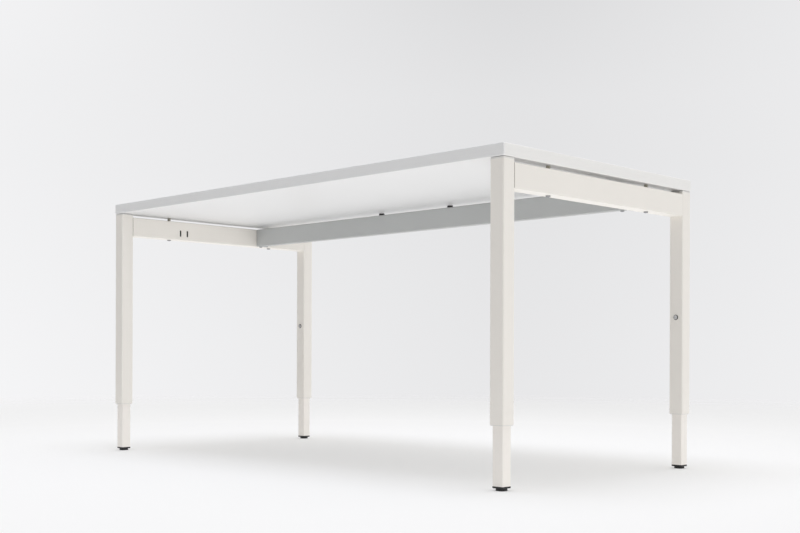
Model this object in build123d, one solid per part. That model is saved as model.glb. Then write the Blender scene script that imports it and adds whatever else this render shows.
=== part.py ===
"""Height-adjustable desk: a 1600 x 800 mm top on two welded side frames with four telescopic legs.

Frame: +Z up, X along the desk's width, Y along its depth with the user's side at -Y.
The origin is on the floor, under the middle of the top. All sizes are in millimetres.

Each leg is a telescope: a 30 mm tube slides in a 40 mm tube between plastic bushes. A clamp screw
goes through a long slot in the inner tube into a nut plate, so it locks the leg at any height, and
the ends of the slot stop the travel at 650 and 850 mm. Each foot screws out of its leg to level
the desk.
"""

from build123d import *
import os

# ---------------------------------------------------------------- driving dimensions

TOP_WIDTH = 1600.0
TOP_DEPTH = 800.0
TOP_THICKNESS = 30.0
EDGE_BAND = 3.0
EDGE_ROUNDING = 2.5

STORED_HEIGHT = 783.0
LOWEST_HEIGHT = 650.0
HIGHEST_HEIGHT = 850.0

UNDERSIDE_GAP = 10.0
RAIL_HEIGHT = 60.0
TUBE_WALL = 2.0
TUBE_CORNER = 3.5

OUTER_SIZE = 40.0
OUTER_BOTTOM = 149.0
LEG_INSET = 1.0

INNER_SIZE = 30.0
INNER_CORNER = 2.0
INNER_BOTTOM = 10.0
INNER_LENGTH = 520.0

BEAM_WIDTH = 20.0
BEAM_FROM_MIDDLE = 149.5
BEAM_END_GAP = 0.5

TOP_SCREW_FROM_MIDDLE = 210.0
CLAMP_HEIGHT = 410.0
CLAMP_THREAD = 8.0

SLIDING_GAP = 0.15
THREAD_GAP = 0.05

# ---------------------------------------------------------------- worked-out places

TOP_UNDERSIDE = STORED_HEIGHT - TOP_THICKNESS
RAIL_TOP = TOP_UNDERSIDE - UNDERSIDE_GAP
RAIL_BOTTOM = RAIL_TOP - RAIL_HEIGHT
RAIL_MIDDLE = (RAIL_TOP + RAIL_BOTTOM) / 2

LEG_X = TOP_WIDTH / 2 - LEG_INSET - OUTER_SIZE / 2
LEG_Y = TOP_DEPTH / 2 - LEG_INSET - OUTER_SIZE / 2
RAIL_LENGTH = 2 * (LEG_Y - OUTER_SIZE / 2)
RAIL_INNER_FACE = LEG_X - OUTER_SIZE / 2

OUTER_CAVITY = OUTER_SIZE - 2 * TUBE_WALL
OUTER_CAVITY_CORNER = TUBE_CORNER - TUBE_WALL * 0.8
INNER_CAVITY = INNER_SIZE - 2 * TUBE_WALL
INNER_TOP = INNER_BOTTOM + INNER_LENGTH

TRAVEL_IN = STORED_HEIGHT - LOWEST_HEIGHT
TRAVEL_OUT = HIGHEST_HEIGHT - STORED_HEIGHT

# Each leg is built standing on the origin with its clamp screw on +Y, then turned and placed.
LEGS = {
    "front_left": (-LEG_X, -LEG_Y, 0),
    "front_right": (LEG_X, -LEG_Y, 0),
    "rear_left": (-LEG_X, LEG_Y, 180),
    "rear_right": (LEG_X, LEG_Y, 180),
}


# ---------------------------------------------------------------- shared shapes


def square_bar(size, corner, bottom, top):
    """A square bar with rounded corners, standing on Z."""
    return Pos(0, 0, bottom) * extrude(RectangleRounded(size, size, corner), top - bottom)


def square_tube(size, wall, corner, bottom, top):
    return square_bar(size, corner, bottom, top) - square_bar(
        size - 2 * wall, corner - wall * 0.8, bottom, top
    )


def lying_tube(width, height, length):
    """A rectangular tube lying along X, centred on the origin."""
    bore = (width - 2 * TUBE_WALL, height - 2 * TUBE_WALL)
    section = RectangleRounded(width, height, TUBE_CORNER) - RectangleRounded(
        *bore, TUBE_CORNER - TUBE_WALL * 0.8
    )
    return Plane.YZ * extrude(section, length / 2, both=True)


def rod_y(diameter, start, end):
    """A round rod along Y from start to end, on the Y axis."""
    rod = Rot(90, 0, 0) * Cylinder(diameter / 2, abs(end - start))
    return Pos(0, (start + end) / 2, 0) * rod


def rod_z(diameter, start, end):
    return Pos(0, 0, (start + end) / 2) * Cylinder(diameter / 2, abs(end - start))


def button_screw(head, head_height, thread, length, key, key_depth):
    """A domed screw with a hexagon socket, its head's underside on Z = 0 and its shank down -Z."""
    cap = rod_z(head, 0, head_height)
    rim = cap.edges().filter_by(GeomType.CIRCLE).sort_by(Axis.Z)[-1]
    cap = fillet(rim, head_height * 0.62)
    socket = extrude(RegularPolygon(key / 2, 6, major_radius=False), key_depth)
    shank = rod_z(thread, -length, 0)
    tip = shank.edges().filter_by(GeomType.CIRCLE).sort_by(Axis.Z)[0]
    shank = chamfer(tip, thread * 0.09)
    return cap + shank - Pos(0, 0, head_height - key_depth) * socket


def pose_leg(shape, place):
    x, y, turn = place
    return Pos(x, y, 0) * Rot(0, 0, turn) * shape


def at_each(shape, points):
    """Copies of one shape at several points, as a group of separate solids."""
    return Compound(children=[Pos(*p) * shape for p in points])


def at_each_leg(shape):
    return Compound(children=[pose_leg(shape, place) for place in LEGS.values()])


# ---------------------------------------------------------------- the top

INSERT_DIAMETER = 10.0
INSERT_DEPTH = 13.0
SLEEVE_DIAMETER = 10.0
TOP_SCREW = 6.0
TOP_SCREW_GRIP = RAIL_HEIGHT + UNDERSIDE_GAP + INSERT_DEPTH - 2
TOP_SCREW_POINTS = [
    (x, y) for x in (-LEG_X, LEG_X) for y in (-TOP_SCREW_FROM_MIDDLE, TOP_SCREW_FROM_MIDDLE)
]


def tabletop_board():
    board = Pos(0, 0, TOP_UNDERSIDE + TOP_THICKNESS / 2) * Box(
        TOP_WIDTH - 2 * EDGE_BAND, TOP_DEPTH - 2 * EDGE_BAND, TOP_THICKNESS
    )
    hole = rod_z(INSERT_DIAMETER, TOP_UNDERSIDE, TOP_UNDERSIDE + INSERT_DEPTH)
    for x, y in TOP_SCREW_POINTS:
        board -= Pos(x, y, 0) * hole
    return board


def edge_band(length, ends_show):
    """A band along X with its outer face on -Y, rounded wherever it shows."""
    band = Box(length, EDGE_BAND, TOP_THICKNESS)
    outer_face = band.faces().sort_by(Axis.Y)[0]
    edges = outer_face.edges() if ends_show else outer_face.edges().filter_by(Axis.X)
    if ends_show:
        edges += band.edges().filter_by(Axis.Y)
    return Pos(0, 0, TOP_UNDERSIDE + TOP_THICKNESS / 2) * fillet(edges, EDGE_ROUNDING)


def edge_bands():
    """The front and rear bands run past the ends of the left and right ones."""
    long_band = edge_band(TOP_WIDTH, ends_show=True)
    long_band = Pos(0, -(TOP_DEPTH - EDGE_BAND) / 2, 0) * long_band
    short_band = edge_band(TOP_DEPTH - 2 * EDGE_BAND, ends_show=False)
    short_band = Pos(0, -(TOP_WIDTH - EDGE_BAND) / 2, 0) * short_band
    return {
        "edge_band_front": long_band,
        "edge_band_rear": Rot(0, 0, 180) * long_band,
        "edge_band_right": Rot(0, 0, 90) * short_band,
        "edge_band_left": Rot(0, 0, -90) * short_band,
    }


def threaded_insert():
    bore = TOP_SCREW + 2 * THREAD_GAP
    return rod_z(INSERT_DIAMETER, 0, INSERT_DEPTH) - rod_z(bore, 0, INSERT_DEPTH)


def spacer_sleeve():
    """The sleeve that holds the top clear of the side rail."""
    sleeve = rod_z(SLEEVE_DIAMETER, 0, UNDERSIDE_GAP)
    sleeve -= rod_z(TOP_SCREW + 0.6, 0, UNDERSIDE_GAP)
    rims = sleeve.edges().filter_by(GeomType.CIRCLE).sort_by(SortBy.RADIUS)[-2:]
    return chamfer(rims, 0.4)


def top_parts():
    on_rail = [(x, y, RAIL_TOP) for x, y in TOP_SCREW_POINTS]
    under_rail = [(x, y, RAIL_BOTTOM) for x, y in TOP_SCREW_POINTS]
    in_board = [(x, y, TOP_UNDERSIDE) for x, y in TOP_SCREW_POINTS]
    screw = Rot(180, 0, 0) * button_screw(12, 3.6, TOP_SCREW, TOP_SCREW_GRIP, 4, 2.2)
    return {
        "tabletop_board": tabletop_board(),
        **edge_bands(),
        "top_threaded_inserts": at_each(threaded_insert(), in_board),
        "top_spacer_sleeves": at_each(spacer_sleeve(), on_rail),
        "top_fixing_screws": at_each(screw, under_rail),
    }


# ---------------------------------------------------------------- side rails

SLOT_WIDTH = 6.0
SLOT_HEIGHT = 20.0
SLOT_MIDDLE = RAIL_BOTTOM + 22.0
SLOT_HALF_PITCH = 13.5
SLOT_PAIR_FROM_MIDDLE = 164.5
SLOT_CORNER = 1.0
SLOT_BOTTOM = SLOT_MIDDLE - SLOT_HEIGHT / 2


def rail_slots():
    """Two pairs of hook slots through the rail's inner wall: one holds the beam, one is spare."""
    slot = Box(4 * TUBE_WALL, SLOT_WIDTH, SLOT_HEIGHT)
    slot = fillet(slot.edges().filter_by(Axis.X), SLOT_CORNER)
    points = [
        (RAIL_INNER_FACE, side * SLOT_PAIR_FROM_MIDDLE + offset, SLOT_MIDDLE)
        for side in (-1, 1)
        for offset in (-SLOT_HALF_PITCH, SLOT_HALF_PITCH)
    ]
    return [Pos(*p) * slot for p in points]


def side_rail():
    """The right-hand rail. The left-hand one is its mirror image."""
    rail = Pos(LEG_X, 0, RAIL_MIDDLE) * Rot(0, 0, 90) * lying_tube(
        OUTER_SIZE, RAIL_HEIGHT, RAIL_LENGTH
    )
    for slot in rail_slots():
        rail -= slot
    screw_hole = rod_z(TOP_SCREW + 0.6, RAIL_BOTTOM - 1, RAIL_TOP + 1)
    for y in (-TOP_SCREW_FROM_MIDDLE, TOP_SCREW_FROM_MIDDLE):
        rail -= Pos(LEG_X, y, 0) * screw_hole
    return rail


def rail_parts():
    right = side_rail()
    return {"side_rail_right": right, "side_rail_left": mirror(right, about=Plane.YZ)}


# ---------------------------------------------------------------- cross beam

BRACKET_HALF = RAIL_INNER_FACE - BEAM_END_GAP
BRACKET_PLATE = 3.0
BRACKET_FIT = 0.2
BRACKET_CORNER = 1.5
BRACKET_FRONT = BEAM_FROM_MIDDLE - BEAM_WIDTH / 2 + 1
BRACKET_REAR = 188.0
BRACKET_TONGUE = 22.0
BEAM_HALF = BRACKET_HALF - BRACKET_PLATE
HOOK_WIDTH = SLOT_WIDTH - 2 * SLOT_CORNER
HOOK_DROP = 6.0
HOOK_NECK = 12.0
BEAM_SCREW = 6.0
BEAM_SCREW_FROM_END = 9.0
PAD_FROM_MIDDLE = 144.0
PAD_DIAMETER = 17.0
PAD_HEIGHT = 6.0
PAD_STEM = 8.0


def cross_beam():
    beam = Pos(0, BEAM_FROM_MIDDLE, RAIL_MIDDLE) * lying_tube(
        BEAM_WIDTH, RAIL_HEIGHT, 2 * BEAM_HALF
    )
    pad_hole = rod_z(PAD_STEM, RAIL_TOP - 2 * TUBE_WALL, RAIL_TOP + 1)
    screw_hole = rod_z(BEAM_SCREW + 0.6, RAIL_BOTTOM - 1, RAIL_BOTTOM + 2 * TUBE_WALL)
    screw_x = BEAM_HALF - BEAM_SCREW_FROM_END
    for side in (-1, 1):
        beam -= Pos(side * PAD_FROM_MIDDLE, BEAM_FROM_MIDDLE, 0) * pad_hole
        beam -= Pos(side * screw_x, BEAM_FROM_MIDDLE, 0) * screw_hole
    return beam


def beam_hook(y):
    """A tab that goes through a slot and drops behind the rail's wall."""
    wall_back = RAIL_INNER_FACE + TUBE_WALL + 0.3
    neck_length = wall_back + BRACKET_PLATE - BRACKET_HALF
    neck = Pos(BRACKET_HALF + neck_length / 2, y, SLOT_BOTTOM + HOOK_NECK / 2) * Box(
        neck_length, HOOK_WIDTH, HOOK_NECK
    )
    lip = Pos(wall_back + BRACKET_PLATE / 2, y, SLOT_BOTTOM - HOOK_DROP / 2) * Box(
        BRACKET_PLATE, HOOK_WIDTH, HOOK_DROP
    )
    return neck + lip


def beam_bracket():
    """The right-hand end bracket: a plate on the beam's end that runs back past it to carry both
    hooks, and a tongue inside the beam that the screw from below goes into."""
    width = BRACKET_REAR - BRACKET_FRONT
    plate_y = (BRACKET_FRONT + BRACKET_REAR) / 2
    plate = Pos(BRACKET_HALF - BRACKET_PLATE / 2, plate_y, RAIL_MIDDLE) * Box(
        BRACKET_PLATE, width, RAIL_HEIGHT - 2
    )
    plate = fillet(plate.edges().filter_by(Axis.X), BRACKET_CORNER)
    tongue_z = RAIL_BOTTOM + TUBE_WALL + BRACKET_FIT + BRACKET_PLATE / 2
    tongue = Pos(BEAM_HALF - BRACKET_TONGUE / 2, BEAM_FROM_MIDDLE, tongue_z) * Box(
        BRACKET_TONGUE,
        BEAM_WIDTH - 2 * TUBE_WALL - 2 * OUTER_CAVITY_CORNER,
        BRACKET_PLATE,
    )
    screw_x = BEAM_HALF - BEAM_SCREW_FROM_END
    tapped = rod_z(BEAM_SCREW + 2 * THREAD_GAP, RAIL_BOTTOM, RAIL_BOTTOM + 4 * BRACKET_PLATE)
    bracket = plate + tongue - Pos(screw_x, BEAM_FROM_MIDDLE, 0) * tapped
    for offset in (-SLOT_HALF_PITCH, SLOT_HALF_PITCH):
        bracket += beam_hook(SLOT_PAIR_FROM_MIDDLE + offset)
    return bracket


def beam_pad():
    """The round plastic buffer that stops a sagging top on the beam, with its snap-in stem."""
    pad = rod_z(PAD_DIAMETER, 0, PAD_HEIGHT)
    return pad + rod_z(PAD_STEM - 0.2, -3 * TUBE_WALL, 0)


def beam_parts():
    right = beam_bracket()
    screw = Rot(180, 0, 0) * button_screw(11, 3.2, BEAM_SCREW, 8, 4, 2)
    screw_x = BEAM_HALF - BEAM_SCREW_FROM_END
    screws = [(side * screw_x, BEAM_FROM_MIDDLE, RAIL_BOTTOM) for side in (-1, 1)]
    return {
        "cross_beam": cross_beam(),
        "beam_bracket_right": right,
        "beam_bracket_left": mirror(right, about=Plane.YZ),
        "beam_spacer_pad_right": Pos(PAD_FROM_MIDDLE, BEAM_FROM_MIDDLE, RAIL_TOP) * beam_pad(),
        "beam_spacer_pad_left": Pos(-PAD_FROM_MIDDLE, BEAM_FROM_MIDDLE, RAIL_TOP) * beam_pad(),
        "beam_locking_screws": at_each(screw, screws),
    }


# ---------------------------------------------------------------- leg, fixed half

CAP_FLANGE = 4.0
CAP_PLUG = 16.0
OUTER_TOP = TOP_UNDERSIDE - 1 - CAP_FLANGE
BUSH_LIP = 2.0
BUSH_LENGTH = 40.0
PAD_BOSS = 12.0
CLAMP_PAD_WIDTH = 30.0
CLAMP_PAD_HEIGHT = 60.0
NUT_PLATE_WIDTH = 24.0
NUT_PLATE_HEIGHT = 40.0
NUT_PLATE_THICKNESS = 6.0
WASHER_DIAMETER = 14.0
WASHER_THICKNESS = 0.8
CLEARANCE_HOLE = CLAMP_THREAD + 0.4
CLAMP_HEAD = 10.5
CLAMP_HEAD_HEIGHT = 2.6
CLAMP_KEY = 4.0
CLAMP_KEY_DEPTH = 3.2


def at_clamp(shape):
    return Pos(0, 0, CLAMP_HEIGHT) * shape


def outer_tube():
    tube = square_tube(OUTER_SIZE, TUBE_WALL, TUBE_CORNER, OUTER_BOTTOM, OUTER_TOP)
    return tube - at_clamp(rod_y(PAD_BOSS, OUTER_CAVITY / 2 - 1, OUTER_SIZE / 2 + 1))


def leg_top_cap():
    flange = square_bar(OUTER_SIZE, TUBE_CORNER, OUTER_TOP, OUTER_TOP + CAP_FLANGE)
    flange = fillet(flange.edges().group_by(Axis.Z)[-1], 1)
    plug = square_bar(OUTER_CAVITY - 0.2, OUTER_CAVITY_CORNER, OUTER_TOP - CAP_PLUG, OUTER_TOP)
    hollow = square_bar(OUTER_CAVITY - 5, 1, OUTER_TOP - CAP_PLUG, OUTER_TOP)
    return flange + (plug - hollow)


def lower_bush():
    """Pressed into the foot of the outer tube; its lip shows as a thin line under the tube."""
    lip = square_bar(OUTER_SIZE - 2, TUBE_CORNER - 0.5, OUTER_BOTTOM - BUSH_LIP, OUTER_BOTTOM)
    sleeve = square_bar(
        OUTER_CAVITY - 0.1, OUTER_CAVITY_CORNER, OUTER_BOTTOM, OUTER_BOTTOM + BUSH_LENGTH
    )
    bore = square_bar(
        INNER_SIZE + 2 * SLIDING_GAP,
        INNER_CORNER * 0.8,
        OUTER_BOTTOM - BUSH_LIP,
        OUTER_BOTTOM + BUSH_LENGTH,
    )
    return lip + sleeve - bore


def clamp_pad():
    """Fills the space between the two tubes at the clamp screw, with a boss in the outer wall."""
    back = INNER_SIZE / 2 + SLIDING_GAP
    front = OUTER_CAVITY / 2
    pad = Pos(0, (back + front) / 2, 0) * Box(CLAMP_PAD_WIDTH, front - back, CLAMP_PAD_HEIGHT)
    boss = rod_y(PAD_BOSS - 0.1, front, OUTER_SIZE / 2)
    return at_clamp(pad + boss - rod_y(CLEARANCE_HOLE, back - 1, OUTER_SIZE / 2 + 1))


def nut_plate():
    front = INNER_CAVITY / 2 - SLIDING_GAP
    middle = front - NUT_PLATE_THICKNESS / 2
    plate = Pos(0, middle, 0) * Box(NUT_PLATE_WIDTH, NUT_PLATE_THICKNESS, NUT_PLATE_HEIGHT)
    plate = chamfer(plate.edges().filter_by(Axis.Y), 2)
    return at_clamp(plate - rod_y(CLAMP_THREAD + 2 * THREAD_GAP, 0, front + 1))


def clamp_washer():
    face = OUTER_SIZE / 2
    ring = rod_y(WASHER_DIAMETER, face, face + WASHER_THICKNESS)
    return at_clamp(ring - rod_y(CLEARANCE_HOLE, face - 1, face + WASHER_THICKNESS + 1))


def clamp_screw():
    """Turns to lock the leg. Its tip passes just through the nut plate."""
    head_seat = OUTER_SIZE / 2 + WASHER_THICKNESS + THREAD_GAP
    tip = INNER_CAVITY / 2 - NUT_PLATE_THICKNESS - 1.5
    head = rod_z(CLAMP_HEAD, 0, CLAMP_HEAD_HEIGHT)
    head = chamfer(head.edges().filter_by(GeomType.CIRCLE).sort_by(Axis.Z)[-1], 0.8)
    key = extrude(RegularPolygon(CLAMP_KEY / 2, 6, major_radius=False), CLAMP_KEY_DEPTH)
    shank = rod_z(CLAMP_THREAD, tip - head_seat, 0)
    shank = chamfer(shank.edges().filter_by(GeomType.CIRCLE).sort_by(Axis.Z)[0], 0.8)
    screw = head + shank - Pos(0, 0, CLAMP_HEAD_HEIGHT - CLAMP_KEY_DEPTH) * key
    return at_clamp(Pos(0, head_seat, 0) * Rot(-90, 0, 0) * screw)


# ---------------------------------------------------------------- leg, sliding half

SLOT_SIDE_GAP = 0.5
STOP_GAP = 1.0
HEAD_SIZE = OUTER_CAVITY - 0.4
HEAD_HEIGHT = 18.0
STEM_LENGTH = 20.0
FOOT_FLANGE = 4.3
FOOT_FLANGE_SIZE = 30.5
FOOT_PLUG = 28.0
GLIDE_DIAMETER = 27.0
GLIDE_HEIGHT = 5.4
STUD = 8.0
STUD_TOP = 34.0
STUD_SEAT = 2.5


def travel_slot():
    """The slot that the clamp screw runs in as the leg slides."""
    lowest = CLAMP_HEIGHT - TRAVEL_IN - STOP_GAP
    highest = CLAMP_HEIGHT + TRAVEL_OUT + STOP_GAP
    width = CLAMP_THREAD + 2 * SLOT_SIDE_GAP
    outline = Rot(0, 0, 90) * SlotCenterToCenter(highest - lowest, width)
    slot = extrude(outline, 2 * TUBE_WALL)
    return Pos(0, INNER_SIZE / 2 + TUBE_WALL, (lowest + highest) / 2) * Rot(90, 0, 0) * slot


def inner_tube():
    return square_tube(INNER_SIZE, TUBE_WALL, INNER_CORNER, INNER_BOTTOM, INNER_TOP) - travel_slot()


def upper_bush():
    """Plugged into the top of the inner tube; its head guides it in the outer one."""
    head = square_bar(HEAD_SIZE, OUTER_CAVITY_CORNER, INNER_TOP, INNER_TOP + HEAD_HEIGHT)
    head = chamfer(head.edges().group_by(Axis.Z)[-1], 1)
    stem = square_bar(INNER_CAVITY - 0.2, 1, INNER_TOP - STEM_LENGTH, INNER_TOP)
    bore = rod_z(16, INNER_TOP - STEM_LENGTH, INNER_TOP + HEAD_HEIGHT)
    return head + stem - bore


def foot_insert():
    flange = square_bar(FOOT_FLANGE_SIZE, INNER_CORNER, INNER_BOTTOM - FOOT_FLANGE, INNER_BOTTOM)
    flange = fillet(flange.edges().group_by(Axis.Z)[0], 0.8)
    plug = square_bar(INNER_CAVITY - 0.1, 1, INNER_BOTTOM, INNER_BOTTOM + FOOT_PLUG)
    bore = rod_z(STUD + 2 * THREAD_GAP, INNER_BOTTOM - FOOT_FLANGE, INNER_BOTTOM + FOOT_PLUG)
    return flange + plug - bore


def foot_glide():
    """The round disc that stands on the floor, with the stud's head moulded into it."""
    disc = rod_z(GLIDE_DIAMETER, 0, GLIDE_HEIGHT)
    disc = fillet(disc.edges().filter_by(GeomType.CIRCLE).sort_by(Axis.Z)[-1], 0.5)
    disc = fillet(disc.edges().filter_by(GeomType.CIRCLE).sort_by(Axis.Z)[0], 0.8)
    return disc - rod_z(STUD, STUD_SEAT, GLIDE_HEIGHT)


def foot_stud():
    stud = rod_z(STUD, STUD_SEAT, STUD_TOP)
    return chamfer(stud.edges().filter_by(GeomType.CIRCLE).sort_by(Axis.Z)[-1], 0.8)


def leg_parts():
    fixed_groups = {
        "clamp_nut_plates": nut_plate(),
        "clamp_washers": clamp_washer(),
    }
    one_per_leg = {
        "leg_top_cap": leg_top_cap(),
        "outer_tube": outer_tube(),
        "lower_guide_bush": lower_bush(),
        "clamp_guide_pad": clamp_pad(),
        "inner_tube": inner_tube(),
        "upper_guide_bush": upper_bush(),
        "foot_insert": foot_insert(),
        "foot_stud": foot_stud(),
        "foot_glide": foot_glide(),
        "clamp_screw": clamp_screw(),
    }
    parts = {name: at_each_leg(shape) for name, shape in fixed_groups.items()}
    for leg, place in LEGS.items():
        for name, shape in one_per_leg.items():
            parts[f"{name}_{leg}"] = pose_leg(shape, place)
    return parts


# ---------------------------------------------------------------- output


def main():
    os.makedirs("parts", exist_ok=True)
    nodes = {**top_parts(), **rail_parts(), **beam_parts(), **leg_parts()}
    for name, shape in nodes.items():
        export_step(shape, f"parts/{name}.step")
    print(len(nodes), "nodes")


main()
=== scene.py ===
"""The looks of the height-adjustable desk: finishes, small details, studio and camera.

Everything is in metres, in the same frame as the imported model: +Z up, the user's side at -Y.
"""

import math

import bmesh
import bpy
from mathutils import Matrix, Vector


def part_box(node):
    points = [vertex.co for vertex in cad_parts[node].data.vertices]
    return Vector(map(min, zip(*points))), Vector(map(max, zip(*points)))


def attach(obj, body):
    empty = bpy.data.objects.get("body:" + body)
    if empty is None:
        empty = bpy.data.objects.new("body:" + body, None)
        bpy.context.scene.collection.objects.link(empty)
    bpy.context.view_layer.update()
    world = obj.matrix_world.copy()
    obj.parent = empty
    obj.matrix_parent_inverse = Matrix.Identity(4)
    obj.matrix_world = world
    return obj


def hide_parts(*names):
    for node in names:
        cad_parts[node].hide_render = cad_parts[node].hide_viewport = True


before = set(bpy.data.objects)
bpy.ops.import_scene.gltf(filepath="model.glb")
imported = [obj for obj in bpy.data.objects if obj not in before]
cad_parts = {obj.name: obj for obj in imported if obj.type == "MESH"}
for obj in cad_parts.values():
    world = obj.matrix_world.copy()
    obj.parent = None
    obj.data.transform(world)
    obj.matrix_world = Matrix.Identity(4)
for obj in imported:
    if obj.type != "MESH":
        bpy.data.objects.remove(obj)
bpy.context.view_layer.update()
LEGS = ("front_left", "front_right", "rear_left", "rear_right")
MM = 0.001


# ---------------------------------------------------------------- node helpers


class Nodes:
    """A short way to write a node tree.

    add() makes a node and set() fills one of its inputs, with a constant or with another node's
    output. An input is named with underscores for its blanks, or by its number, as in i0.
    """

    def __init__(self, tree):
        self.tree = tree
        tree.nodes.clear()

    def add(self, kind, **inputs):
        node = self.tree.nodes.new(kind)
        for name, value in inputs.items():
            self.set(node, name, value)
        return node

    def set(self, node, name, value):
        by_number = name[1:].isdigit()
        socket = node.inputs[int(name[1:]) if by_number else name.replace("_", " ")]
        if isinstance(value, bpy.types.NodeSocket):
            self.tree.links.new(value, socket)
        else:
            socket.default_value = value

    def math(self, operation, a, b=0.0, clamp=False):
        node = self.add("ShaderNodeMath", i0=a, i1=b)
        node.operation = operation
        node.use_clamp = clamp
        return node.outputs[0]

    def spread(self, value, low, high, to_low=0.0, to_high=1.0):
        """value moved from low..high to to_low..to_high, held at the ends."""
        node = self.add("ShaderNodeMapRange", Value=value)
        node.inputs["From Min"].default_value = low
        node.inputs["From Max"].default_value = high
        node.inputs["To Min"].default_value = to_low
        node.inputs["To Max"].default_value = to_high
        return node.outputs[0]

    def mix(self, factor, a, b):
        node = self.add("ShaderNodeMix")
        node.data_type = "RGBA"
        self.set(node, "i0", factor)
        self.set(node, "i6", a)
        self.set(node, "i7", b)
        return node.outputs[2]

    def noise(self, place, scale, detail=2.0, roughness=0.5):
        node = self.add(
            "ShaderNodeTexNoise", Vector=place, Scale=scale, Detail=detail, Roughness=roughness
        )
        return node.outputs[0]

    def bump(self, height, distance, strength):
        node = self.add("ShaderNodeBump", Height=height, Distance=distance, Strength=strength)
        return node.outputs[0]

    def stretched(self, place, x, y, z):
        node = self.add("ShaderNodeMapping", Vector=place, Scale=(x, y, z))
        return node.outputs[0]


def colour(r, g, b):
    return (r, g, b, 1.0)


def shaded(rgb, factor):
    return colour(*(min(1.0, c * factor) for c in rgb))


def new_material(name):
    """A material with a Principled shader, and the object's own coordinates in metres."""
    material = bpy.data.materials.new(name)
    material.use_nodes = True
    n = Nodes(material.node_tree)
    shader = n.add("ShaderNodeBsdfPrincipled")
    n.add("ShaderNodeOutputMaterial", Surface=shader.outputs[0])
    place = n.add("ShaderNodeTexCoord").outputs["Object"]
    return material, n, shader, place


# ---------------------------------------------------------------- materials

# The rails' walls are 2 mm thick; their paint ends inside the wall, within the hook slots,
# where the near-black painted shade of the tubes' insides begins.
PAINT_ENDS = (0.8 * MM, 1.4 * MM)
GLUE_LINE = (0.25 * MM, 0.1 * MM)


def inside_rails(n, place):
    """1 on the bare inner walls of the side rails, painted near-black as shade, and 0 on their
    outsides.
    """
    low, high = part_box("side_rail_right")
    x, _, z = n.add("ShaderNodeSeparateXYZ", Vector=place).outputs
    aside = n.math("SUBTRACT", n.math("ABSOLUTE", x), (low.x + high.x) / 2)
    aloft = n.math("SUBTRACT", z, (low.z + high.z) / 2)
    depth_x = n.math("SUBTRACT", (high.x - low.x) / 2, n.math("ABSOLUTE", aside))
    depth_z = n.math("SUBTRACT", (high.z - low.z) / 2, n.math("ABSOLUTE", aloft))
    return n.spread(n.math("MINIMUM", depth_x, depth_z), *PAINT_ENDS)


def powder_coat(name, rgb, roughness, bare_inside_painted_shade=False, rubbed=0.0):
    """Sprayed and baked powder: a very fine orange peel, with slow drifts in tone and sheen.

    rubbed is how strongly the slide's faint upright rub marks show. bare_inside_painted_shade
    leaves the insides of the side rails unpainted and near-black, which is painted shade in the
    tubes.
    """
    material, n, shader, place = new_material(name)
    peel = n.noise(place, 1400, 3.0, 0.55)
    waves = n.noise(place, 260, 2.0, 0.5)
    drift = n.noise(place, 5, 3.0, 0.5)
    grains = n.spread(n.noise(place, 2600, 1.0), 0.62, 0.75)
    tone = n.mix(n.spread(drift, 0.3, 0.7), shaded(rgb, 0.985), shaded(rgb, 1.012))
    tone = n.mix(n.math("MULTIPLY", grains, 0.12), tone, shaded(rgb, 0.9))
    if rubbed:
        streaks = n.noise(n.stretched(place, 700, 700, 9), 1.0, 3.0, 0.6)
        streaks = n.math("MULTIPLY", n.spread(streaks, 0.58, 0.7), rubbed)
        tone = n.mix(streaks, tone, shaded(rgb, 0.72))
    if bare_inside_painted_shade:
        # Painted shade: the inner walls are left bare and made near-black, for the shade inside the
        # tube.
        tone = n.mix(inside_rails(n, place), tone, colour(*BARE_WALL_PAINTED_SHADE))
    n.set(shader, "Base_Color", tone)
    n.set(shader, "Roughness", n.spread(peel, 0.3, 0.7, roughness - 0.05, roughness + 0.07))
    height = n.math("ADD", n.math("MULTIPLY", peel, 0.6), n.math("MULTIPLY", waves, 0.8))
    n.set(shader, "Normal", n.bump(height, 0.06 * MM, 0.5))
    shader.inputs["IOR"].default_value = 1.5
    shader.inputs["Specular IOR Level"].default_value = 0.45
    return material


def glue_joint(n, place):
    """1 on a hairline along the board's rim, where the edge bands are glued on."""
    low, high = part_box("tabletop_board")
    x, y, _ = n.add("ShaderNodeSeparateXYZ", Vector=place).outputs
    across = n.math("SUBTRACT", high.x, n.math("ABSOLUTE", x))
    along = n.math("SUBTRACT", high.y, n.math("ABSOLUTE", y))
    return n.spread(n.math("MINIMUM", across, along), *GLUE_LINE)


def laminate(name, rgb, roughness):
    """Melamine-faced board: an even white with a fine pearl texture pressed into it."""
    material, n, shader, place = new_material(name)
    pearl = n.noise(place, 900, 2.0, 0.6)
    wide = n.noise(place, 2.2, 2.0, 0.5)
    tone = n.mix(n.spread(wide, 0.3, 0.7), shaded(rgb, 0.992), shaded(rgb, 1.006))
    specks = n.spread(n.noise(place, 420, 4.0, 0.7), 0.66, 0.72)
    tone = n.mix(n.math("MULTIPLY", specks, 0.05), tone, shaded(rgb, 0.8))
    n.set(shader, "Base_Color", n.mix(glue_joint(n, place), tone, shaded(rgb, 0.62)))
    n.set(shader, "Roughness", n.spread(pearl, 0.3, 0.7, roughness - 0.04, roughness + 0.05))
    n.set(shader, "Normal", n.bump(pearl, 0.04 * MM, 0.45))
    shader.inputs["Specular IOR Level"].default_value = 0.4
    return material


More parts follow.
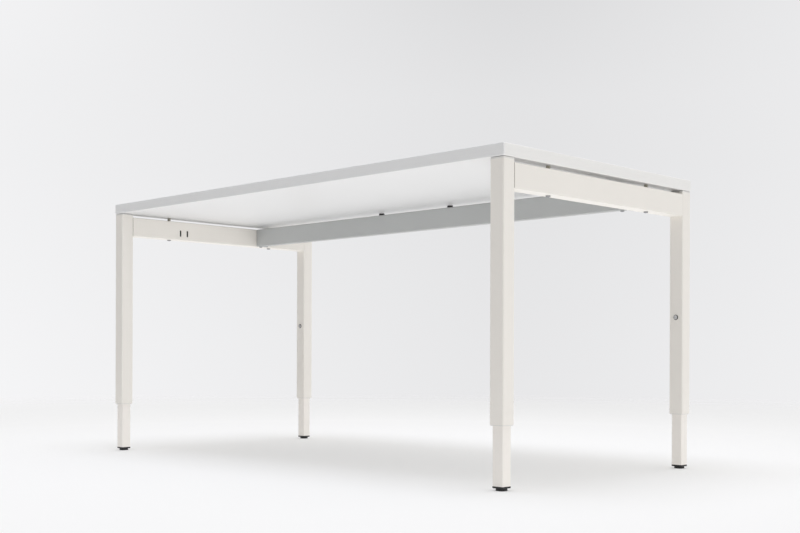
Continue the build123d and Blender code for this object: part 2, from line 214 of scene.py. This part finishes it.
def edging(name, rgb, roughness):
    """Extruded ABS band: faint lines along its length, glossier than the board."""
    material, n, shader, place = new_material(name)
    lines = n.noise(n.stretched(place, 3, 3, 1600), 1.0, 2.0, 0.5)
    mottle = n.noise(place, 60, 2.0, 0.5)
    tone = n.mix(n.spread(lines, 0.35, 0.65), shaded(rgb, 0.985), shaded(rgb, 1.01))
    n.set(shader, "Base_Color", tone)
    n.set(shader, "Roughness", n.spread(mottle, 0.3, 0.7, roughness - 0.05, roughness + 0.05))
    n.set(shader, "Normal", n.bump(lines, 0.03 * MM, 0.4))
    return material


def moulded_plastic(name, rgb, roughness):
    """Injection-moulded plastic with a fine spark-eroded grain."""
    material, n, shader, place = new_material(name)
    spark = n.noise(place, 1100, 3.0, 0.6)
    cloud = n.noise(place, 45, 2.0, 0.5)
    tone = n.mix(n.spread(cloud, 0.3, 0.7), shaded(rgb, 0.96), shaded(rgb, 1.04))
    n.set(shader, "Base_Color", tone)
    n.set(shader, "Roughness", n.spread(spark, 0.3, 0.7, roughness - 0.06, roughness + 0.08))
    n.set(shader, "Normal", n.bump(spark, 0.08 * MM, 0.5))
    return material


def plated_steel(name, rgb, roughness):
    """Zinc-plated steel: slight brushing, and duller, darker clouds in the plating."""
    material, n, shader, place = new_material(name)
    brushing = n.noise(n.stretched(place, 2400, 2400, 160), 1.0, 2.0, 0.5)
    cloud = n.noise(place, 220, 3.0, 0.6)
    tone = n.mix(n.spread(cloud, 0.35, 0.65), shaded(rgb, 0.86), shaded(rgb, 1.05))
    n.set(shader, "Base_Color", tone)
    shader.inputs["Metallic"].default_value = 1.0
    n.set(shader, "Roughness", n.spread(cloud, 0.3, 0.7, roughness + 0.1, roughness - 0.05))
    n.set(shader, "Normal", n.bump(brushing, 0.02 * MM, 0.35))
    return material


WHITE_COAT = (0.900, 0.866, 0.812)
WHITE_BOARD = (0.782, 0.782, 0.782)
# One white edging in two tones: the front and rear bands painted darker as shade, the side bands
# painted lighter and warmer as light from the right.
BAND_PAINTED_SHADE = (0.858, 0.858, 0.856)
SIDE_BAND_PAINTED_LIGHT = (0.888, 0.878, 0.858)
# The inner tubes wear the frame's white coat, painted a few percent lighter for the brighter light
# low on the legs.
RUBBED_COAT_PAINTED_LIGHTER = (0.935, 0.895, 0.845)
GREY_COAT = (0.490, 0.501, 0.496)
# Near-black for the rails' inner walls: painted shade inside the tubes.
BARE_WALL_PAINTED_SHADE = (0.045, 0.043, 0.040)

white_coat = powder_coat("white_powder_coat", WHITE_COAT, 0.42)
rail_coat = powder_coat("white_powder_coat_rails", WHITE_COAT, 0.42, bare_inside_painted_shade=True)
# Inner tubes: real rub streaks, on a tone painted lighter as painted light.
rubbed_coat_painted_lighter = powder_coat("white_powder_coat_rubbed_painted_lighter", RUBBED_COAT_PAINTED_LIGHTER, 0.42, rubbed=0.12)
grey_coat = powder_coat("grey_powder_coat", GREY_COAT, 0.45)
white_board = laminate("white_laminate", WHITE_BOARD, 0.36)
band_painted_shade = edging("white_edging", BAND_PAINTED_SHADE, 0.38)
side_band_painted_light = edging("white_edging_sides_painted_light", SIDE_BAND_PAINTED_LIGHT, 0.38)
white_plastic = moulded_plastic("white_plastic", (0.78, 0.765, 0.735), 0.45)
natural_nylon = moulded_plastic("natural_nylon", (0.70, 0.68, 0.60), 0.5)
# The spacer sleeves are natural nylon with a beige hue; their dark grey tone is painted shade from
# the gap under the top.
beige_plastic = moulded_plastic("beige_plastic", (0.45, 0.43, 0.35), 0.5)
black_plastic = moulded_plastic("black_plastic", (0.012, 0.012, 0.013), 0.42)
zinc = plated_steel("zinc_plated_steel", (0.60, 0.61, 0.63), 0.32)
# A darker copy of the same zinc: painted shade on the screw heads under the rails and on the beam's
# locking screws.
zinc_painted_shade = plated_steel("zinc_plated_steel_painted_shade", (0.36, 0.36, 0.37), 0.42)
# A lighter copy of the same zinc: a painted highlight for the bright reflection on the clamp screw
# heads.
zinc_painted_highlight = plated_steel("zinc_plated_steel_painted_highlight", (0.86, 0.86, 0.87), 0.36)
# Near-black washers draw the dark ring round each clamp screw head.
dark_steel = plated_steel("blackened_steel", (0.07, 0.07, 0.075), 0.4)

FINISHES = {
    "tabletop_board": white_board,
    # Front and rear bands carry painted shade; the side bands carry painted light.
    "edge_band_front": band_painted_shade,
    "edge_band_rear": band_painted_shade,
    "edge_band_right": side_band_painted_light,
    "edge_band_left": side_band_painted_light,
    "outer_tube": white_coat,
    "inner_tube": rubbed_coat_painted_lighter,
    "side_rail": rail_coat,
    "cross_beam": grey_coat,
    "beam_bracket": grey_coat,
    "leg_top_cap": white_plastic,
    "lower_guide_bush": white_plastic,
    "upper_guide_bush": natural_nylon,
    "clamp_guide_pad": natural_nylon,
    "top_spacer_sleeves": beige_plastic,
    "beam_spacer_pad": black_plastic,
    "foot_insert": black_plastic,
    "foot_glide": black_plastic,
    "foot_stud": zinc,
    "clamp_nut_plates": zinc,
    "clamp_washers": dark_steel,
    "clamp_screw": zinc_painted_highlight,
    "beam_locking_screws": zinc_painted_shade,
    "top_threaded_inserts": zinc,
    "top_fixing_screws": zinc_painted_shade,
}


def finish_cad_nodes():
    for name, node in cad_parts.items():
        material = next(m for start, m in FINISHES.items() if name.startswith(start))
        node.data.materials.clear()
        node.data.materials.append(material)


finish_cad_nodes()


# ---------------------------------------------------------------- small details

THREAD_PITCH = 1.25 * MM
THREAD_DEPTH = 0.68 * MM
THREAD_ROOT = 1.25
THREAD_FLANK = 3.0
THREAD_SIDES = 32
ROWS_PER_TURN = 8

BEAD_RADIUS = 1.7 * MM
BEAD_END_GAP = 5 * MM
BEAD_RIPPLE = 2.4 * MM
RIPPLE_DEPTH = 0.14
RIPPLE_BOW = 0.35
BEAD_SIDES = 10
BEAD_ROWS = 60


def lathe_mesh(name, rows):
    """A closed mesh through rows of points of equal count; each end is closed with a face."""
    mesh = bpy.data.meshes.new(name)
    count = len(rows[0])
    last = (len(rows) - 1) * count
    faces = []
    for start in range(0, last, count):
        for i in range(count):
            beside = (i + 1) % count
            faces.append((start + i, start + beside, start + count + beside, start + count + i))
    faces.append(tuple(reversed(range(count))))
    faces.append(tuple(range(last, last + count)))
    mesh.from_pydata([tuple(p) for row in rows for p in row], [], faces)
    mesh.polygons.foreach_set("use_smooth", [len(f) == 4 for f in faces])
    mesh.update()
    thing = bpy.data.objects.new(name, mesh)
    bpy.context.scene.collection.objects.link(thing)
    return thing


def threaded_stud(leg):
    """The levelling foot's stud with its helical thread, in place of the plain rod."""
    low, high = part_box(f"foot_stud_{leg}")
    x, y = (low.x + high.x) / 2, (low.y + high.y) / 2
    radius = (high.x - low.x) / 2
    count = int((high.z - low.z) / THREAD_PITCH * ROWS_PER_TURN)
    rows = []
    for r in range(count + 1):
        z = low.z + (high.z - low.z) * r / count
        run_out = min(1.0, (high.z - z) / THREAD_PITCH)
        row = []
        for i in range(THREAD_SIDES):
            turn = 2 * math.pi * i / THREAD_SIDES
            phase = (z / THREAD_PITCH - turn / (2 * math.pi)) % 1.0
            flank = THREAD_ROOT - abs(phase - 0.5) * THREAD_FLANK
            groove = THREAD_DEPTH * min(1.0, max(0.0, flank))
            away = radius - max(groove, THREAD_DEPTH * (1 - run_out))
            row.append((x + away * math.cos(turn), y + away * math.sin(turn), z))
        rows.append(row)
    stud = lathe_mesh(f"threaded_stud_{leg}", rows)
    stud.data.materials.append(zinc)
    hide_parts(f"foot_stud_{leg}")
    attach(stud, f"foot_{leg}")


def bead_row(x, y, z, radius):
    """One ring of a bead that runs along X, bowed forward at its crown as welds set."""
    row = []
    for i in range(BEAD_SIDES):
        turn = 2 * math.pi * i / BEAD_SIDES
        bow = RIPPLE_BOW * radius * math.cos(turn)
        row.append((x + bow, y + radius * math.cos(turn), z + radius * math.sin(turn)))
    return row


def weld_bead(leg):
    """A rippled bead across the underside of the rail, where it meets the leg."""
    low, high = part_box(f"outer_tube_{leg}")
    rail_low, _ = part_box("side_rail_right")
    y = high.y if low.y < 0 else low.y
    start = low.x + BEAD_END_GAP
    length = high.x - BEAD_END_GAP - start
    rows = []
    for r in range(BEAD_ROWS + 1):
        along = r / BEAD_ROWS
        taper = math.sqrt(max(0.06, 1 - abs(2 * along - 1) ** 8))
        ripple = 1 - RIPPLE_DEPTH * abs(math.sin(math.pi * length * along / BEAD_RIPPLE))
        rows.append(bead_row(start + length * along, y, rail_low.z, BEAD_RADIUS * taper * ripple))
    bead = lathe_mesh(f"weld_bead_{leg}", rows)
    bead.data.materials.append(white_coat)
    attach(bead, "desk_frame")


for leg in LEGS:
    threaded_stud(leg)
    weld_bead(leg)


# ---------------------------------------------------------------- studio


FLOOR_RADIUS = 6.0
FLOOR_TONE = (0.716, 0.711, 0.698)
FLOOR_FADE = (2.0, 5.5)
FLOOR_SIDES = 96
FLOOR_GLOW = 0.2
FLOOR_GLOW_COLOUR = (1.0, 1.0, 1.02)

# Light that the surround sends from below the rim of the horizon.
UNDERGLOW = 0.82
RIM_SLOPE = -0.1
# Soft lobes of light from far away: direction, width (a higher power is narrower), strength.
LOBES = (
    ((0, 0, 1), 1, 0.62),
    ((0, 0, 1), 5, 0.96),
    ((1, 0, 0), 1, 0.14),
    ((1, 0, 0), 5, 0.76),
    ((-1, 0, 0), 1, 0.07),
    ((0, 1, 0), 1, 0.38),
    ((0, 1, 0), 5, 0.76),
)

OVERHEAD_PLACE = (0.0, -0.35, 3.6)
OVERHEAD_SIZE = (1.9, 1.5)
OVERHEAD_POWER = 27.5
OVERHEAD_COLOUR = (0.94, 0.985, 1.14)
# A wide soft light close above the floor stands for the floor's own bounce.
UPLIGHT_PLACE = (0.0, 0.0, 2 * MM)
UPLIGHT_SIZE = (6.0, 6.0)
UPLIGHT_POWER = 19.2

# The backdrop's two walls meet in a fold at this azimuth. Heights are sines of elevation.
FOLD_TURN = math.radians(39.0)
FOLD_SOFTNESS = 0.0012
FOLD_WIDTH = 0.42
FOLD_SLOPE = 0.27
FOLD_SLOPE_ABOVE = 0.19
WALL_HEIGHTS = (-0.04, 0.16)
WALL_TONES = (0.800, 0.762)
UPPER_HEIGHTS = (0.215, 0.29)
UPPER_DARKENING = -0.055
BACKDROP_BLUE = 1.012


def studio_floor():
    """A round floor that thins out into the backdrop well before its rim."""
    mesh = bpy.data.meshes.new("studio_floor")
    bm = bmesh.new()
    bmesh.ops.create_circle(bm, cap_ends=True, segments=FLOOR_SIDES, radius=FLOOR_RADIUS)
    bm.to_mesh(mesh)
    bm.free()
    floor = bpy.data.objects.new("studio_floor", mesh)
    bpy.context.scene.collection.objects.link(floor)
    material = bpy.data.materials.new("studio_floor")
    material.use_nodes = True
    n = Nodes(material.node_tree)
    place = n.add("ShaderNodeTexCoord").outputs["Object"]
    length = n.add("ShaderNodeVectorMath", i0=place)
    length.operation = "LENGTH"
    far = n.spread(length.outputs["Value"], *FLOOR_FADE)
    paper = n.add("ShaderNodeBsdfDiffuse", Color=colour(*FLOOR_TONE))
    glow = n.add("ShaderNodeEmission", Color=colour(*FLOOR_GLOW_COLOUR), Strength=FLOOR_GLOW)
    near = n.add("ShaderNodeAddShader", i0=paper.outputs[0], i1=glow.outputs[0])
    clear = n.add("ShaderNodeBsdfTransparent")
    blend = n.add("ShaderNodeMixShader", i0=far, i1=near.outputs[0], i2=clear.outputs[0])
    n.add("ShaderNodeOutputMaterial", Surface=blend.outputs[0])
    mesh.materials.append(material)
    return floor


def dotted(n, way, direction):
    node = n.add("ShaderNodeVectorMath", i0=way, i1=direction)
    node.operation = "DOT_PRODUCT"
    return node.outputs["Value"]


def surround_light(n, way):
    """The light that the surround sends from each direction; below the horizon it is even."""
    light = 0.0
    for direction, power, strength in LOBES:
        lobe = n.math("MAXIMUM", dotted(n, way, direction), 0.0)
        lobe = n.math("POWER", lobe, float(power))
        light = n.math("ADD", n.math("MULTIPLY", lobe, float(strength)), light)
    above = n.add("ShaderNodeCombineColor", i0=light, i1=light, i2=light).outputs[0]
    below = n.math("LESS_THAN", dotted(n, way, (0, 0, 1)), RIM_SLOPE)
    return n.mix(below, above, colour(UNDERGLOW, UNDERGLOW, UNDERGLOW))


def backdrop_tone(n, way):
    """Two pale walls that meet in a soft fold, a little darker in the fold and high up."""
    aside = dotted(n, way, (math.cos(FOLD_TURN), math.sin(FOLD_TURN), 0))
    height = dotted(n, way, (0, 0, 1))
    bent = n.math("SQRT", n.math("ADD", n.math("MULTIPLY", aside, aside), FOLD_SOFTNESS))
    bent = n.math("MINIMUM", bent, FOLD_WIDTH)
    upper = n.spread(height, *UPPER_HEIGHTS)
    base = n.math(
        "ADD",
        n.spread(height, *WALL_HEIGHTS, *WALL_TONES),
        n.math("MULTIPLY", upper, UPPER_DARKENING),
    )
    slope = n.math("ADD", n.math("MULTIPLY", upper, FOLD_SLOPE_ABOVE), FOLD_SLOPE)
    tone = n.math("ADD", base, n.math("MULTIPLY", bent, slope))
    blue = n.math("MULTIPLY", tone, BACKDROP_BLUE)
    return n.add("ShaderNodeCombineColor", i0=tone, i1=tone, i2=blue).outputs[0]


def studio_walls():
    world = bpy.data.worlds.new("studio")
    bpy.context.scene.world = world
    world.use_nodes = True
    n = Nodes(world.node_tree)
    way = n.add("ShaderNodeTexCoord").outputs["Generated"]
    for_light = n.add("ShaderNodeBackground", Color=surround_light(n, way), Strength=1.0)
    for_eye = n.add("ShaderNodeBackground", Color=backdrop_tone(n, way), Strength=1.0)
    seen = n.add("ShaderNodeLightPath").outputs["Is Camera Ray"]
    both = n.add("ShaderNodeMixShader", i0=seen, i1=for_light.outputs[0], i2=for_eye.outputs[0])
    n.add("ShaderNodeOutputWorld", Surface=both.outputs[0])


def softbox(name, place, target, size, power):
    light = bpy.data.lights.new(name, "AREA")
    light.shape = "RECTANGLE"
    light.size = size[0]
    light.size_y = size[1]
    light.energy = power
    box = bpy.data.objects.new(name, light)
    bpy.context.scene.collection.objects.link(box)
    box.location = place
    box.rotation_euler = (Vector(target) - Vector(place)).to_track_quat("-Z", "Y").to_euler()
    return box


floor = studio_floor()
studio_walls()
overhead = softbox("overhead", OVERHEAD_PLACE, (0, 0, 0), OVERHEAD_SIZE, OVERHEAD_POWER)
overhead.data.color = OVERHEAD_COLOUR
uplight = softbox("uplight", UPLIGHT_PLACE, (0, 0, 1), UPLIGHT_SIZE, UPLIGHT_POWER)
uplight.visible_camera = False
# The floor stays under the rear left foot, however far that leg is let out.
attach(floor, "foot_rear_left")
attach(uplight, "foot_rear_left")


# ---------------------------------------------------------------- camera

CAMERA_PLACE = (2.4568, -2.41645, 0.30569)
CAMERA_TURN = math.radians(44.473)
CAMERA_ROLL = math.radians(0.17)
FOCAL_LENGTH = 52.4
RISE = 0.11063


def photo_camera():
    """Level and low, looking at the near right corner, with the lens raised as on a view camera."""
    data = bpy.data.cameras.new("camera")
    data.lens = FOCAL_LENGTH
    data.sensor_width = 36.0
    data.shift_y = RISE
    camera = bpy.data.objects.new("camera", data)
    bpy.context.scene.collection.objects.link(camera)
    level = Matrix.Rotation(CAMERA_TURN, 4, "Z") @ Matrix.Rotation(math.pi / 2, 4, "X")
    roll = Matrix.Rotation(CAMERA_ROLL, 4, "Z")
    camera.matrix_world = Matrix.Translation(CAMERA_PLACE) @ level @ roll
    bpy.context.scene.camera = camera


photo_camera()
bpy.context.scene.view_settings.view_transform = "Standard"
